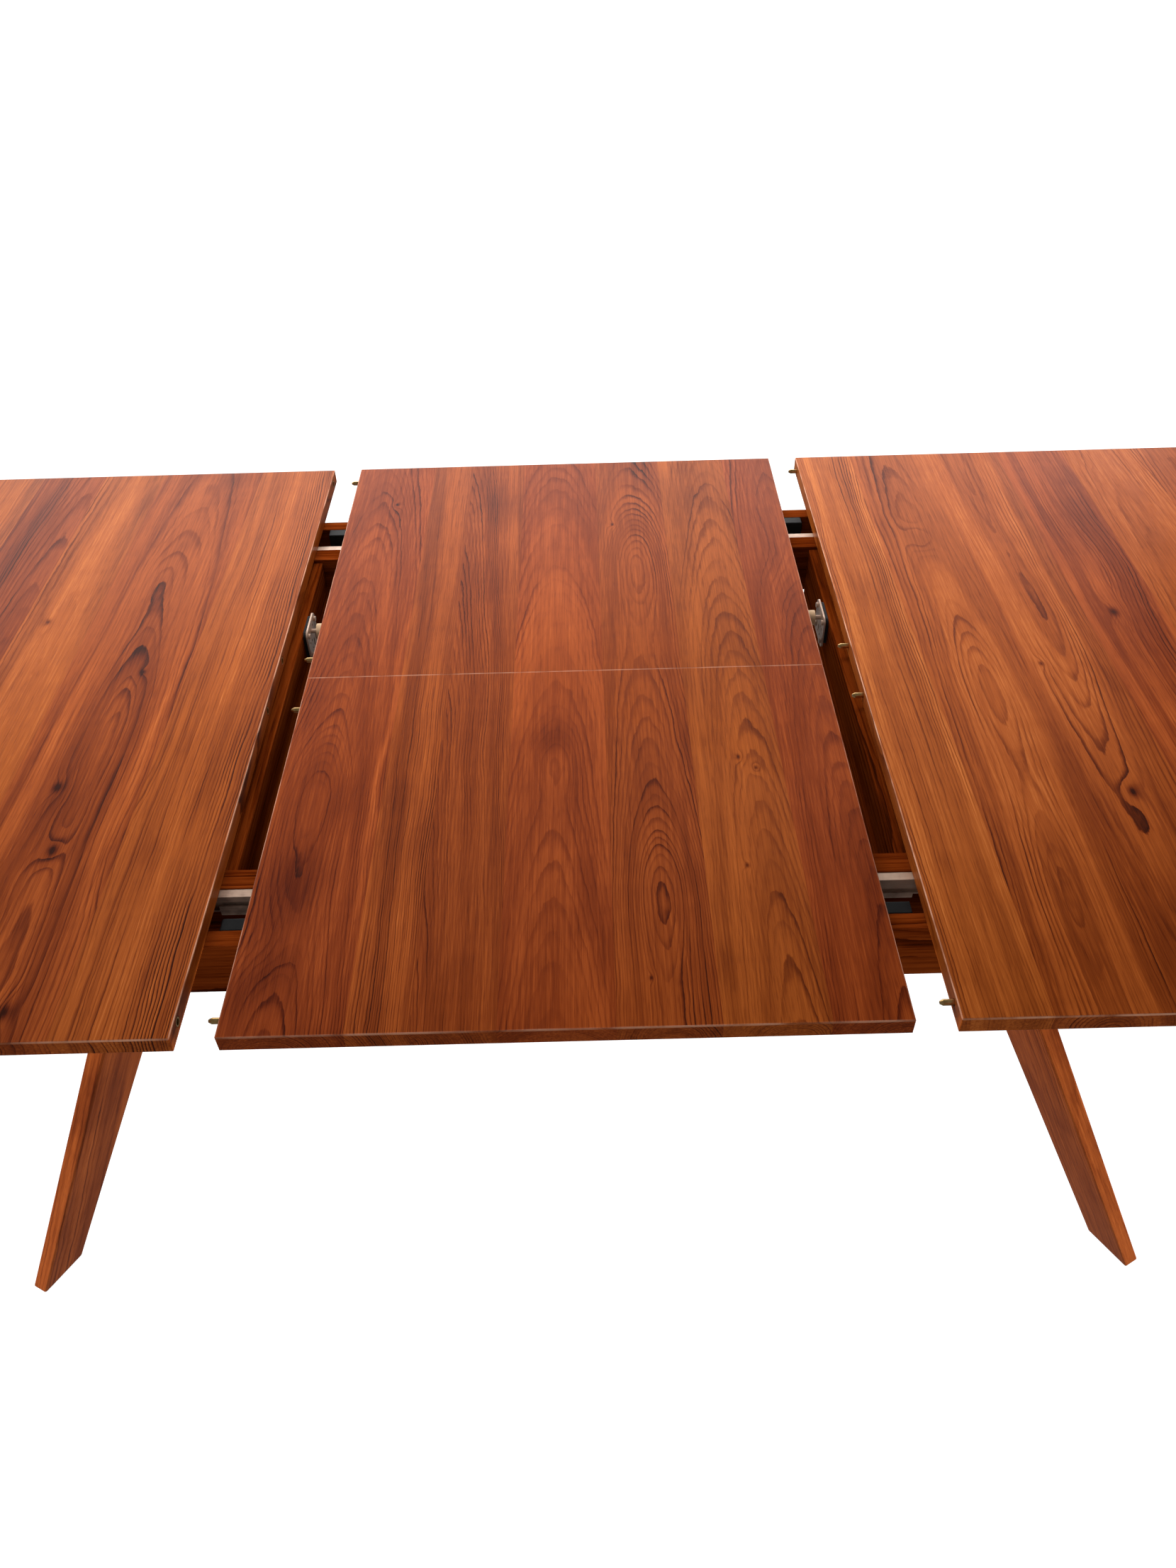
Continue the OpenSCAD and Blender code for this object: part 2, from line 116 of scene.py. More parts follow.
class Shader:
    """A material whose tree holds one Principled BSDF."""

    def __init__(self, name):
        self.material = bpy.data.materials.new(name)
        self.material.use_nodes = True
        self.tree = self.material.node_tree
        self.bsdf = self.tree.nodes["Principled BSDF"]

    def feed(self, socket, source):
        if isinstance(source, Value):
            source = source.socket
        if isinstance(source, bpy.types.NodeSocket):
            self.tree.links.new(source, socket)
        else:
            socket.default_value = source

    def set(self, **sockets):
        """Feeds the BSDF's sockets; Base_Color stands for Base Color."""
        for name, source in sockets.items():
            self.feed(self.bsdf.inputs[name.replace("_", " ")], source)

    def position(self):
        """Places in the table's frame, in metres."""
        return self.tree.nodes.new("ShaderNodeTexCoord").outputs["Object"]

    def split(self, vector):
        node = self.tree.nodes.new("ShaderNodeSeparateXYZ")
        self.feed(node.inputs[0], vector)
        return [Value(self, out) for out in node.outputs]

    def join(self, x, y, z):
        node = self.tree.nodes.new("ShaderNodeCombineXYZ")
        for socket, part in zip(node.inputs, (x, y, z)):
            self.feed(socket, part)
        return node.outputs[0]

    def turn(self, vector, axis, angle):
        node = self.tree.nodes.new("ShaderNodeVectorRotate")
        node.rotation_type = axis
        self.feed(node.inputs["Vector"], vector)
        node.inputs["Angle"].default_value = angle
        return node.outputs[0]

    def scaled(self, vector, scales):
        node = self.tree.nodes.new("ShaderNodeVectorMath")
        node.operation = "MULTIPLY"
        self.feed(node.inputs[0], vector)
        node.inputs[1].default_value = scales
        return node.outputs[0]

    def noise(self, vector, scales, detail=2.0, roughness=0.5):
        node = self.tree.nodes.new("ShaderNodeTexNoise")
        self.feed(node.inputs["Vector"], self.scaled(vector, scales))
        node.inputs["Scale"].default_value = 1.0
        node.inputs["Detail"].default_value = detail
        node.inputs["Roughness"].default_value = roughness
        return Value(self, node.outputs["Fac"])

    def noise_along(self, value, detail=2.0):
        node = self.tree.nodes.new("ShaderNodeTexNoise")
        node.noise_dimensions = "1D"
        self.feed(node.inputs["W"], value)
        node.inputs["Scale"].default_value = 1.0
        node.inputs["Detail"].default_value = detail
        return Value(self, node.outputs["Fac"])

    def random(self, value):
        node = self.tree.nodes.new("ShaderNodeTexWhiteNoise")
        node.noise_dimensions = "1D"
        self.feed(node.inputs["W"], value)
        return Value(self, node.outputs["Value"])

    def colours(self, value, stops, interpolation="LINEAR"):
        """Colour ramp; stops are (place, colour), and a colour may carry its own alpha."""
        node = self.tree.nodes.new("ShaderNodeValToRGB")
        node.color_ramp.interpolation = interpolation
        elements = node.color_ramp.elements
        elements.remove(elements[1])
        elements[0].position, elements[0].color = stops[0][0], (*stops[0][1], 1)[:4]
        for place, colour in stops[1:]:
            elements.new(place).color = (*colour, 1)[:4]
        self.feed(node.inputs["Fac"], value)
        return node

    def mix(self, colour, other, share):
        node = self.tree.nodes.new("ShaderNodeMix")
        node.data_type = "RGBA"
        self.feed(node.inputs["Factor"], share)
        self.feed(node.inputs[6], colour)
        self.feed(node.inputs[7], other)
        return node.outputs[2]

    def bump(self, height, distance):
        node = self.tree.nodes.new("ShaderNodeBump")
        node.inputs["Distance"].default_value = distance
        self.feed(node.inputs["Height"], height)
        self.set(Normal=node.outputs["Normal"])


# ---------- wood ----------

# A glued board from its low edge on: pith place and depth and how much the pith rises along the
# board, distance between rings, all in metres, then how dark and how red it is, and how strongly
# its rings show, from 0 to 1.
Board = namedtuple("Board", "edge pith depth rise ring dark red figure")

# A swell in the rings that bends them into loops: its place, reach and height in metres.
Swell = namedtuple("Swell", "across along reach_across reach_along height")

# A small knot: its place and radius in metres.
Knot = namedtuple("Knot", "across along radius")

# A dark or pale patch: its place and reach in metres, and how much darker it is.
Patch = namedtuple("Patch", "across along reach_across reach_along dark")

# The largest size that each value of a board may have; only pith and rise may be negative.
LIMITS = Board(0, 1.5, 0.2, 0.25, 0.02, 1, 1, 1)

WALNUT = [
    (0.00, (0.560, 0.155, 0.034)),
    (0.28, (0.335, 0.072, 0.0115)),
    (0.52, (0.195, 0.035, 0.0048)),
    (0.78, (0.095, 0.0135, 0.0014)),
    (1.00, (0.026, 0.0040, 0.0008)),
]
# Pale colour of the panels' top arris: partly wear, partly a painted highlight of light on the rounded
# edge
ARRIS_WEAR_AND_HIGHLIGHT = (0.80, 0.42, 0.27, 1)
MAPLE = [
    (0.00, (0.720, 0.520, 0.330)),
    (0.50, (0.600, 0.400, 0.235)),
    (1.00, (0.360, 0.210, 0.110)),
]

# How much each feature adds to a board's darkness
BANDS = 0.17
RING_LINES = 0.95
CLOUDS = 0.22
RIPPLES = 0.05
STREAKS = 0.22
FIBRES = 0.55
FINE_FIBRES = 0.32
PORES = 0.08
STAINS = 0.10
KNOTS = 0.5

# Taken off every tone, because rings, pores and stains only darken it
HEADROOM = 0.05

# How far the hue turns between the brownest and the reddest board
RED_SHIFT = 0.012

# How far the rings' middle moves, across and down, as they wander and sway, and how far they shiver
WANDER = (0.040, 0.008)
SWAY = (0.012, 0.003)
SHIVER = 0.0026

WOOD_RELIEF = 0.07 * MM


def board_values(shader, across, boards, span):
    """The board at a place across the panel, with each of its values read from a colour ramp."""
    low, high = span
    place = (across - low) / (high - low)

    def pick(fields):
        stops = []
        for board in boards:
            colour = []
            for field in fields:
                share = getattr(board, field) / getattr(LIMITS, field)
                colour.append(share / 2 + 0.5 if field in ("pith", "rise") else share)
            stops.append((max(0.0, (board.edge - low) / (high - low)), tuple(colour)))
        node = shader.colours(place, stops, "CONSTANT")
        separate = shader.tree.nodes.new("ShaderNodeSeparateColor")
        shader.feed(separate.inputs[0], node.outputs["Color"])
        values = []
        for field, output in zip(fields, (*separate.outputs, node.outputs["Alpha"])):
            value = Value(shader, output)
            limit = getattr(LIMITS, field)
            values.append((value - 0.5) * (2 * limit) if field in ("pith", "rise") else value * limit)
        return values

    return Board(None, *pick(("pith", "depth", "rise")), *pick(("ring", "dark", "red", "figure")))


def nearness(shape, across, along, reach_across, reach_along):
    """1 at the middle of a swell, knot or patch, falling smoothly to 0 around it."""
    reach = ((across - shape.across) / reach_across).squared()
    reach = reach + ((along - shape.along) / reach_along).squared()
    return (reach * -1).math("EXPONENT")


def noise_place(shader, grain, board, seed):
    """Where the wood reads its noise: every board has its own piece of it."""
    own = shader.join(board.dark * 17.0 + seed, board.red * 23.0, board.pith * 31.0)
    offset = shader.tree.nodes.new("ShaderNodeVectorMath")
    shader.feed(offset.inputs[0], grain)
    shader.feed(offset.inputs[1], own)
    return offset.outputs[0]


def ring_radius(shader, spot, place, board, bends, swells, knots):
    """Distance from a pith that wanders and sways, with the swells and knots added."""
    across, deep, along = spot
    wander, sway = bends
    shiver = shader.noise(place, (70, 70, 26), 3, 0.62) - 0.5
    side = across - board.pith + wander * WANDER[0] + sway * SWAY[0]
    down = deep + board.depth + board.rise * along + sway * SWAY[1] + wander * WANDER[1]
    radius = (side.squared() + down.squared()).math("SQRT") + shiver * SHIVER
    for swell in swells:
        near = nearness(swell, across, along, swell.reach_across, swell.reach_along)
        radius = radius + near * swell.height
    for knot in knots:
        near = nearness(knot, across, along, knot.radius * 2.8, knot.radius * 4.5)
        radius = radius + near * (knot.radius * 1.6)
    return radius


def ring_lines(shader, place, radius, ring, seed):
    """The rings' dark lines, how strong each one is, and the broader bands of tone along them."""
    count = radius / ring + (shader.noise_along(radius * 90 + seed, 1) - 0.5) * 1.2
    index = count.math("FLOOR")
    phase = count - index
    fade = shader.noise(place, (30, 30, 5), 2).ramp(0.30, 0.62, 0.25, 1.0)
    fade = fade * shader.noise(place, (11, 11, 1.2), 1).ramp(0.36, 0.62, 0.30, 1.1)
    line = phase.ramp(0.30, 0.90).squared() * phase.ramp(0.91, 1.0, 1.0, 0.0) * fade
    strength = shader.random(index + seed).ramp(0.0, 1.0, 0.25, 1.0)
    bands = shader.noise_along(radius * 42 + seed + 3, 2).ramp(0.30, 0.70)
    return line, strength, bands


def wood(name, axes, boards, span, palette=WALNUT, swells=(), knots=(), patches=(), seed=0.0, lift=0.0,
         gloss=0.33, shine=0.06, contrast=1.0, pale_arris=None):
    """Sawn wood: growth rings about a wandering pith, fibre, pores and knots, the same all through."""
    shader = Shader(name)
    grain = axes(shader)
    across, deep, along = shader.split(grain)
    board = board_values(shader, across, boards, span)
    place = noise_place(shader, grain, board, seed)
    wander = shader.noise(place, (4, 4, 1.5), 2) - 0.5
    sway = shader.noise(place, (15, 15, 4.5), 2) - 0.5
    radius = ring_radius(shader, (across, deep, along), place, board, (wander, sway), swells, knots)
    line, strength, bands = ring_lines(shader, place, radius, board.ring, seed)

    # Tone over the board, fibre and pores
    cloud = shader.noise(place, (9, 9, 2.6), 3, 0.6)
    stain = shader.noise(place, (13, 13, 4.5), 2).ramp(0.56, 0.74)
    ripple = shader.noise(place, (12, 12, 55), 1) - 0.5
    streaks = shader.noise(place, (130, 130, 2.6), 3, 0.6) - 0.5
    fibre = shader.noise(place, (360, 360, 8), 3, 0.65) - 0.5
    fine = shader.noise(place, (1100, 1100, 26), 2, 0.6) - 0.5
    pores = shader.noise(place, (850, 850, 45), 1).ramp(0.58, 0.72)

    darkness = board.dark + (bands - 0.5) * (BANDS * contrast) + (cloud - 0.5) * (CLOUDS * contrast)
    darkness = darkness + line * strength * board.figure * (RING_LINES * contrast)
    darkness = darkness + stain * (STAINS * contrast)
    darkness = darkness + ripple * RIPPLES + streaks * STREAKS + fibre * FIBRES + fine * FINE_FIBRES
    darkness = darkness + pores * PORES - (lift + HEADROOM)
    ragged_across = across + sway * 0.05
    ragged_along = along + wander * 0.2
    for patch in patches:
        near = nearness(patch, ragged_across, ragged_along, patch.reach_across, patch.reach_along)
        darkness = darkness + near * patch.dark
    for knot in knots:
        near = nearness(knot, across, along, knot.radius, knot.radius * 1.6)
        darkness = darkness + near * KNOTS
    tone = shader.colours(darkness, palette)
    hue = shader.tree.nodes.new("ShaderNodeHueSaturation")
    shader.feed(hue.inputs["Hue"], 0.5 - (board.red - 0.5) * RED_SHIFT)
    shader.feed(hue.inputs["Color"], tone.outputs["Color"])
    colour = hue.outputs["Color"]
    # Pale top arris: wear and a painted highlight
    if pale_arris:
        colour = shader.mix(colour, ARRIS_WEAR_AND_HIGHLIGHT, pale_arris(shader))

    roughness = gloss + fibre * 0.12 + line * 0.05 + (cloud - 0.5) * 0.10
    shader.set(Base_Color=colour, Roughness=roughness, IOR=1.47, Specular_IOR_Level=shine)
    shader.bump(fine * 0.5 + fibre * 0.4 - pores * 0.7 - line * 0.25, WOOD_RELIEF)
    return shader.material


def rubbed_edges(xs, ys, arris_pale_strength=0.7):
    """How pale a panel's top arris is painted, for straight edges at these x and y: partly wear, partly a
    painted highlight of light on the rounded edge.
    """

    def wear(shader):
        x, y, z = shader.split(shader.position())
        gap = (x - xs[0]).math("ABSOLUTE")
        for place in xs[1:]:
            gap = gap.math("MINIMUM", (x - place).math("ABSOLUTE"))
        for place in ys:
            gap = gap.math("MINIMUM", (y - place).math("ABSOLUTE"))
        patchy = shader.noise(shader.position(), (25, 25, 25), 2).ramp(0.30, 0.62, 0.15, 1.0)
        top = z.ramp(TABLE_TOP - 2.5 * MM, TABLE_TOP - 1 * MM)
        return gap.ramp(0.3 * MM, 1.3 * MM, arris_pale_strength, 0.0) * top * patchy

    return wear


def along_y(shader):
    """Boards that run across the table: across X, depth below the top, along Y."""
    x, y, z = shader.split(shader.position())
    return shader.join(x, z - TABLE_TOP, y)


def along_x(shader):
    """Boards that run the length of the table, mirrored so that the outer face is alike."""
    x, y, z = shader.split(shader.position())
    return shader.join(z, y.math("ABSOLUTE"), x + y * 3)


def along_y_edge(shader):
    """Rails that run across the table, seen on their tall faces."""
    x, y, z = shader.split(shader.position())
    return shader.join(z - TABLE_TOP, x.math("ABSOLUTE"), y + x * 4)


# ---------- colours of the panels ----------

LEAF_BOARDS = [
    Board(-0.305, -0.262, 0.060, 0.060, 0.0026, 0.54, 0.70, 0.45),
    Board(-0.195, -0.300, 0.060, 0.020, 0.0024, 0.49, 0.45, 0.55),
    Board(-0.136, -0.150, 0.050, 0.055, 0.0024, 0.53, 0.50, 0.50),
    Board(-0.060, -0.012, 0.100, 0.070, 0.0030, 0.49, 0.70, 0.35),
    Board(0.045, 0.092, 0.055, 0.060, 0.0028, 0.52, 0.50, 0.60),
    Board(0.138, 0.205, 0.060, 0.060, 0.0026, 0.46, 0.25, 0.35),
    Board(0.232, 0.300, 0.060, 0.055, 0.0026, 0.55, 0.70, 0.45),
]
LEAF_SWELLS = [
    Swell(0.094, -0.350, 0.034, 0.095, -0.018),
    Swell(0.096, 0.230, 0.034, 0.120, -0.020),
    Swell(-0.010, -0.160, 0.022, 0.050, -0.008),
    Swell(-0.262, -0.200, 0.040, 0.090, -0.014),
    Swell(-0.275, -0.400, 0.030, 0.050, 0.008),
    Swell(0.275, 0.250, 0.030, 0.090, 0.008),
]
LEAF_KNOTS = [
    Knot(0.078, -0.455, 0.0016),
    Knot(0.188, -0.160, 0.0022),
    Knot(0.205, -0.178, 0.0018),
    Knot(0.180, -0.320, 0.0020),
    Knot(0.066, 0.330, 0.0022),
    Knot(-0.240, 0.400, 0.0022),
]
LEAF_PATCHES = [
    Patch(-0.275, -0.320, 0.030, 0.050, 0.16),
    Patch(-0.285, -0.440, 0.022, 0.040, 0.13),
    Patch(-0.225, -0.200, 0.020, 0.035, 0.10),
    Patch(-0.012, -0.130, 0.018, 0.030, 0.15),
    Patch(0.010, -0.390, 0.030, 0.035, 0.08),
    Patch(-0.105, 0.220, 0.026, 0.050, 0.10),
    Patch(-0.110, 0.440, 0.030, 0.060, 0.12),
    Patch(-0.196, -0.100, 0.0035, 0.250, -0.22),
    Patch(0.285, -0.330, 0.025, 0.090, 0.10),
]

LEFT_BOARDS = [
    Board(-1.107, -1.060, 0.060, 0.020, 0.0036, 0.42, 0.35, 0.50),
    Board(-1.000, -0.930, 0.080, -0.030, 0.0034, 0.36, 0.30, 0.50),
    Board(-0.880, -0.840, 0.050, 0.020, 0.0032, 0.38, 0.25, 0.50),
    Board(-0.780, -0.700, 0.040, 0.040, 0.0036, 0.50, 0.60, 0.50),
    Board(-0.690, -0.640, 0.090, 0.010, 0.0032, 0.34, 0.25, 0.50),
    Board(-0.600, -0.520, 0.040, 0.060, 0.0050, 0.44, 0.50, 0.70),
    Board(-0.455, -0.600, 0.020, 0.004, 0.0036, 0.36, 0.30, 0.80),
]
LEFT_SWELLS = [
    Swell(-0.515, -0.060, 0.034, 0.160, -0.016),
    Swell(-0.462, -0.270, 0.020, 0.100, 0.012),
    Swell(-0.540, 0.220, 0.026, 0.080, -0.010),
    Swell(-0.560, -0.330, 0.030, 0.110, -0.014),
    Swell(-0.760, 0.050, 0.030, 0.200, 0.010),
]
LEFT_KNOTS = [
    Knot(-0.505, 0.020, 0.0030),
    Knot(-0.545, -0.180, 0.0050),
    Knot(-0.520, -0.275, 0.0050),
    Knot(-0.560, -0.360, 0.0060),
    Knot(-0.500, -0.475, 0.0055),
    Knot(-0.655, 0.130, 0.0026),
]
LEFT_PATCHES = [
    Patch(-0.745, 0.300, 0.040, 0.200, 0.14),
    Patch(-0.640, -0.330, 0.035, 0.120, 0.12),
    Patch(-0.530, -0.230, 0.018, 0.090, 0.13),
    Patch(-0.560, -0.420, 0.016, 0.060, 0.12),
    Patch(-0.470, -0.150, 0.006, 0.220, -0.18),
    Patch(-0.575, -0.100, 0.008, 0.250, -0.14),
    Patch(-0.700, -0.150, 0.012, 0.300, -0.12),
]

RIGHT_BOARDS = [
    Board(0.345, 0.250, 0.030, 0.005, 0.0036, 0.36, 0.25, 0.60),
    Board(0.425, 0.480, 0.040, 0.035, 0.0042, 0.42, 0.40, 0.55),
    Board(0.535, 0.580, 0.030, -0.040, 0.0046, 0.44, 0.45, 0.60),
    Board(0.640, 0.760, 0.040, 0.010, 0.0036, 0.50, 0.70, 0.50),
    Board(0.740, 0.790, 0.060, 0.030, 0.0036, 0.42, 0.45, 0.50),
    Board(0.850, 0.900, 0.050, 0.020, 0.0034, 0.45, 0.50, 0.50),
    Board(0.960, 1.010, 0.060, -0.030, 0.0036, 0.40, 0.35, 0.50),
]
RIGHT_SWELLS = [
    Swell(0.478, 0.270, 0.022, 0.040, 0.010),
    Swell(0.490, -0.040, 0.032, 0.120, -0.014),
    Swell(0.480, -0.360, 0.026, 0.100, -0.012),
    Swell(0.600, 0.080, 0.022, 0.130, -0.011),
    Swell(0.700, 0.200, 0.040, 0.090, 0.010),
]
RIGHT_KNOTS = [
    Knot(0.680, 0.090, 0.0055),
    Knot(0.560, -0.010, 0.0026),
    Knot(0.590, -0.230, 0.0040),
    Knot(0.655, -0.340, 0.0040),
]
RIGHT_PATCHES = [
    Patch(0.480, -0.470, 0.180, 0.150, 0.16),
    Patch(0.700, 0.330, 0.050, 0.120, 0.14),
    Patch(0.690, 0.090, 0.030, 0.080, 0.12),
    Patch(0.560, -0.250, 0.040, 0.090, 0.10),
    Patch(0.680, -0.420, 0.110, 0.120, 0.14),
    Patch(0.480, 0.270, 0.020, 0.030, 0.08),
    Patch(0.445, 0.200, 0.006, 0.300, -0.14),
]


# ---------- metals and small parts ----------

def zinc_steel():
    """Zinc-plated sheet: faint drawing lines, cloudy plating and a few smudges, in warm brown tones that
    are a painted reflection of the walnut and warm light around it.
    """
    shader = Shader("zinc_steel")
    place = shader.position()
    lines = shader.noise(place, (12, 900, 900), 2) - 0.5
    cloud = shader.noise(place, (60, 60, 60), 3) - 0.5
    smudge = shader.noise(place, (22, 22, 22), 2).ramp(0.55, 0.70)
    # Warm brown stops instead of grey: painted reflection of the surrounding walnut and warm light; the
    # smudges are dirt
    tone = shader.colours(cloud + 0.5 + lines * 0.3 + smudge * 0.25, [
        (0.25, (0.62, 0.43, 0.32)), (0.55, (0.50, 0.34, 0.25)), (0.85, (0.24, 0.15, 0.11))])
    shader.set(Base_Color=tone.outputs["Color"], Metallic=0.35,
               Roughness=0.34 + cloud * 0.2 + lines * 0.1 + smudge * 0.12)
    shader.bump(lines + cloud * 0.4, 0.04 * MM)
    return shader.material


def brass():
    """Turned brass: rings from the lathe about X, darker where it is handled."""
    shader = Shader("brass")
    place = shader.position()
    rings = shader.noise(place, (2600, 30, 30), 1) - 0.5
    cloud = shader.noise(place, (240, 240, 240), 2)
    tone = shader.colours(cloud, [(0.3, (0.78, 0.52, 0.22)), (0.7, (0.52, 0.31, 0.11))])
    shader.set(Base_Color=tone.outputs["Color"], Metallic=1.0, Roughness=0.26 + cloud * 0.12)
    shader.bump(rings, 0.05 * MM)
    return shader.material


def coated(name, colour, roughness, grain_size, depth):
    """Painted or moulded surface with a fine orange-peel grain."""
    shader = Shader(name)
    place = shader.position()
    peel = shader.noise(place, (1 / grain_size,) * 3, 3)
    dust = shader.noise(place, (45, 45, 45), 4, 0.6).ramp(0.45, 0.75)
    pale = tuple(part * 1.6 + 0.003 for part in colour)
    tone = shader.colours(dust, [(0.0, colour), (1.0, pale)])
    shader.set(Base_Color=tone.outputs["Color"], Roughness=roughness + dust * 0.12 + (peel - 0.5) * 0.1,
               Specular_IOR_Level=0.2)
    shader.bump(peel, depth)
    return shader.material


def felt():
    """Pressed wool felt."""
    shader = Shader("felt")
    place = shader.position()
    fuzz = shader.noise(place, (1500, 1500, 700), 4, 0.7)
    tone = shader.colours(fuzz, [(0.3, (0.035, 0.032, 0.030)), (0.7, (0.11, 0.10, 0.095))])
    shader.set(Base_Color=tone.outputs["Color"], Roughness=0.95, Sheen_Weight=0.4)
    shader.bump(fuzz, 0.3 * MM)
    return shader.material


# ---------- putting looks on the CAD nodes ----------

def dress(material, *names):
    """Gives these nodes one material."""
    for name in names:
        node = nodes[name]
        node.data.materials.clear()
        node.data.materials.append(material)


def ease_edges(width, segments, *names):
    """Small rounding on the sharp edges of these nodes."""
    for name in names:
        node = nodes[name]
        weld = node.modifiers.new("weld", "WELD")
        weld.merge_threshold = 0.01 * MM
        flat = node.modifiers.new("flat", "DECIMATE")
        flat.decimate_type = "DISSOLVE"
        flat.angle_limit = radians(1.0)
        bevel = node.modifiers.new("ease", "BEVEL")
        bevel.width = width
        bevel.segments = segments
        bevel.limit_method = "ANGLE"
        bevel.angle_limit = radians(40)
        bevel.use_clamp_overlap = False


def fours(pattern):
    """Names of the four nodes that stand at the front and rear, left and right."""
    return [pattern.format(end, side) for end in ("front", "rear") for side in ("left", "right")]


APRONS = ("apron_front", "apron_rear")
SLIDE_RAILS = ("slide_rail_front", "slide_rail_rear")
CROSS_PIECES = ("cross_rail_left", "cross_rail_right", "end_rail_left", "end_rail_right",
                "rod_carrier_left", "rod_carrier_right")
LEGS = fours("leg_{}_{}")

# Heights between which the ramps of a rail's single board run
RAIL_SPAN = (0.64, 0.76)

# A leg's lean, the turn of its board about its own length, and the x and y of its foot
LEG_SPLAY = radians(24.1)
LEG_TURN = radians(59.8)
FOOT = (0.748, 0.388)


def along_leg(shader):
    """Boards that run up a leg; each corner gets its own stretch of the board."""
    x, y, z = shader.split(shader.position())
    foot = shader.join(x.math("ABSOLUTE") - FOOT[0], y.math("ABSOLUTE") - FOOT[1], z)
    board = shader.turn(shader.turn(foot, "Y_AXIS", LEG_SPLAY), "Z_AXIS", -LEG_TURN)
    across, deep, along = shader.split(board)
    return shader.join(across, deep, along + x.math("SIGN") * 2.3 + y.math("SIGN") * 5.1)


def panel_wood(name, span, boards, swells, knots, patches, seed, lift=0.0, ys=SIDES, arris_pale_strength=0.7):
    """Walnut of a glued panel with boards along Y, pale along its straight edges with wear and a painted
    highlight.
    """
    return wood(name, along_y, boards, span, swells=swells, knots=knots, patches=patches, seed=seed,
                lift=lift, pale_arris=rubbed_edges(span, ys, arris_pale_strength))


def dress_wood():
    dress(panel_wood("walnut_left_top", LEFT_SPAN, LEFT_BOARDS, LEFT_SWELLS, LEFT_KNOTS, LEFT_PATCHES,
                     seed=11.0, lift=-0.05), "left_top")
    dress(panel_wood("walnut_right_top", RIGHT_SPAN, RIGHT_BOARDS, RIGHT_SWELLS, RIGHT_KNOTS,
                     RIGHT_PATCHES, seed=29.0, lift=0.07), "right_top")
    dress(panel_wood("walnut_leaf", LEAF_SPAN, LEAF_BOARDS, LEAF_SWELLS, LEAF_KNOTS, LEAF_PATCHES,
                     seed=5.0, ys=(*SIDES, SEAM), arris_pale_strength=0.5), "rear_leaf", "front_leaf")
    leg_board = [Board(-0.1, -0.10, 0.03, 0.02, 0.0055, 0.46, 0.45, 0.50)]
    dress(wood("walnut_leg", along_leg, leg_board, (-0.1, 0.01), seed=41.0, gloss=0.45, shine=0.10),
          *LEGS)
    apron_board = [Board(0.64, 0.60, 0.05, 0.01, 0.0050, 0.68, 0.50, 0.40)]
    dull = {"gloss": 0.70, "shine": 0.0}
    dress(wood("walnut_apron", along_x, apron_board, RAIL_SPAN, seed=53.0, **dull),
          *APRONS)
    dress(wood("walnut_slide_rail", along_x, apron_board, RAIL_SPAN, seed=61.0, **dull),
          *SLIDE_RAILS)
    cross_board = [Board(-0.5, -0.50, 0.06, 0.01, 0.0060, 0.72, 0.40, 0.40)]
    dress(wood("walnut_cross_rail", along_y_edge, cross_board, (-0.5, 0.5), seed=71.0, **dull),
          *CROSS_PIECES)
    maple_board = [Board(0.64, 0.60, 0.05, 0.01, 0.0050, 0.40, 0.50, 0.40)]
    maple = wood("maple", along_x, maple_board, RAIL_SPAN, MAPLE, seed=83.0, contrast=0.6)
    runners = ["{}_runner_{}".format(side, end) for side in ("left", "right") for end in ("front", "rear")]
    dress(maple, "pivot_rod", "leg_dowels", *runners, *fours("corner_block_{}_{}"))


def dress_small_parts():
    slides = [name for name in nodes if "slide_outer" in name or "slide_middle" in name
              or "slide_inner" in name]
    dress(zinc_steel(), "pivot_bracket_left", "pivot_bracket_right", "bracket_screws",
          "left_runner_screws", "right_runner_screws", "rod_end_pins", *slides)
    dress(brass(), "left_pin_sockets", "right_top_pins", "rear_hinge_barrels", "rear_leaf_pins",
          "rear_leaf_sockets", "front_hinge_barrels", "front_leaf_pins", "front_leaf_sockets")
    dress(coated("black_steel", (0.004, 0.004, 0.004), 0.50, 0.9 * MM, 0.10 * MM),
          "stiffener_front", "stiffener_rear")
    dress(coated("black_nylon", (0.014, 0.014, 0.015), 0.55, 0.5 * MM, 0.06 * MM),
          "foot_glides", "bracket_pads")
    dress(felt(), "leaf_rest_pads")


def ease_all():
    ease_edges(1.2 * MM, 3, "left_top", "right_top")
    ease_edges(0.7 * MM, 3, "rear_leaf", "front_leaf")
    ease_edges(3.0 * MM, 5, *LEGS)
    ease_edges(1.0 * MM, 2, *APRONS, *SLIDE_RAILS, *CROSS_PIECES)
    ease_edges(1.5 * MM, 3, "stiffener_front", "stiffener_rear")


# ---------- studio ----------

LENS = 27.03
SENSOR = 36
EYE = (0.0308, -1.1104, 1.614)
AIM = (0.0247, -0.1969, TABLE_TOP)
ROLL = radians(-1.77)

# Light from the world on the table, and the white that the camera sees behind and under it
ROOM_GLOW = 0.17
BACKDROP_GLOW = 1.1
FLOOR_GLOW = 0.97


def camera():
    data = bpy.data.cameras.new("camera")
    data.lens = LENS
    data.sensor_width = SENSOR
    data.clip_end = 100
    cam = bpy.data.objects.new("camera", data)
    bpy.context.scene.collection.objects.link(cam)
    cam.location = EYE
    aim = Vector(AIM) - cam.location
    cam.rotation_mode = "QUATERNION"
    roll = Quaternion((0, 0, 1), ROLL)
    cam.rotation_quaternion = aim.to_track_quat("-Z", "Y") @ roll
    bpy.context.scene.camera = cam


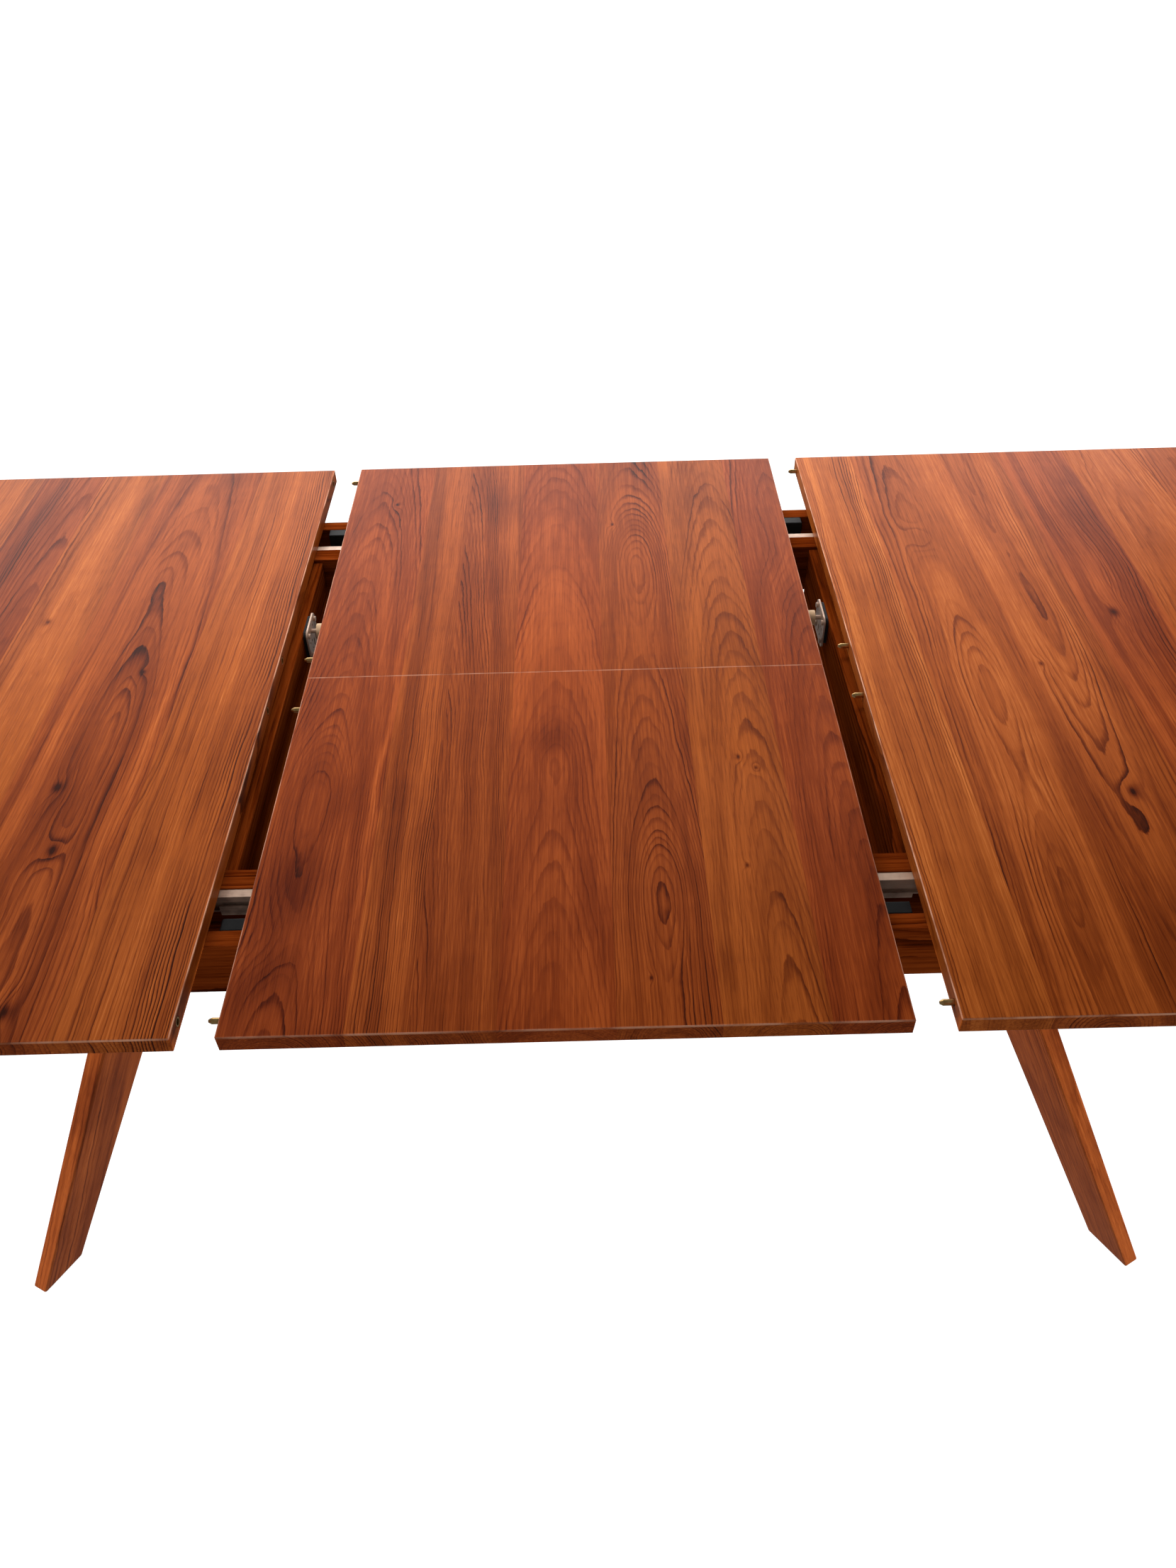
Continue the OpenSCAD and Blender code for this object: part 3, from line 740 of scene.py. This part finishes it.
def softbox(name, place, target, size, power, mirrored=False):
    """Area light; only a mirrored one is seen as a reflection."""
    data = bpy.data.lights.new(name, "AREA")
    data.shape = "RECTANGLE"
    data.size, data.size_y = size
    data.energy = power
    light = bpy.data.objects.new(name, data)
    bpy.context.scene.collection.objects.link(light)
    light.location = place
    light.rotation_euler = (Vector(target) - Vector(place)).to_track_quat("-Z", "Y").to_euler()
    light.visible_camera = False
    light.visible_glossy = mirrored


def world():
    """White to the camera, and a soft pale room to everything else."""
    background = bpy.data.worlds.new("studio")
    bpy.context.scene.world = background
    background.use_nodes = True
    tree = background.node_tree
    shade = tree.nodes["Background"]
    path = tree.nodes.new("ShaderNodeLightPath")
    strength = tree.nodes.new("ShaderNodeMapRange")
    tree.links.new(path.outputs["Is Camera Ray"], strength.inputs["Value"])
    strength.inputs["To Min"].default_value = ROOM_GLOW
    strength.inputs["To Max"].default_value = BACKDROP_GLOW
    tree.links.new(strength.outputs[0], shade.inputs["Strength"])
    shade.inputs["Color"].default_value = (1, 1, 1, 1)


def floor():
    """Pale floor that glows, so that it stays near white, without lighting the table from below."""
    bpy.ops.mesh.primitive_plane_add(size=9, location=(0, 0, 0))
    plane = bpy.context.object
    plane.name = "floor"
    shader = Shader("floor")
    shader.set(Base_Color=(0.30, 0.30, 0.30, 1), Roughness=0.9, Emission_Color=(1, 1, 1, 1),
               Emission_Strength=FLOOR_GLOW)
    plane.data.materials.append(shader.material)
    plane.visible_diffuse = False
    plane.visible_glossy = False


def studio():
    scene = bpy.context.scene
    scene.view_settings.view_transform = "Standard"
    world()
    floor()
    softbox("rear_window", (-0.2, 2.1, 1.45), (0.1, 0.2, 0.7), (4.6, 1.1), 56, mirrored=True)
    softbox("overhead", (-0.05, 0.68, 1.82), (0.1, 0.22, 0.7), (3.0, 0.5), 33)
    softbox("front_key", (-1.2, -3.4, 3.4), (-0.3, 0.0, 0.7), (2.6, 1.6), 18)
    softbox("left_side", (-3.6, -0.8, 0.55), (0.0, 0.0, 0.4), (1.6, 0.4), 160)
    softbox("right_side", (3.6, -0.8, 0.55), (0.0, 0.0, 0.4), (1.6, 0.4), 150)


camera()
dress_wood()
dress_small_parts()
ease_all()
studio()
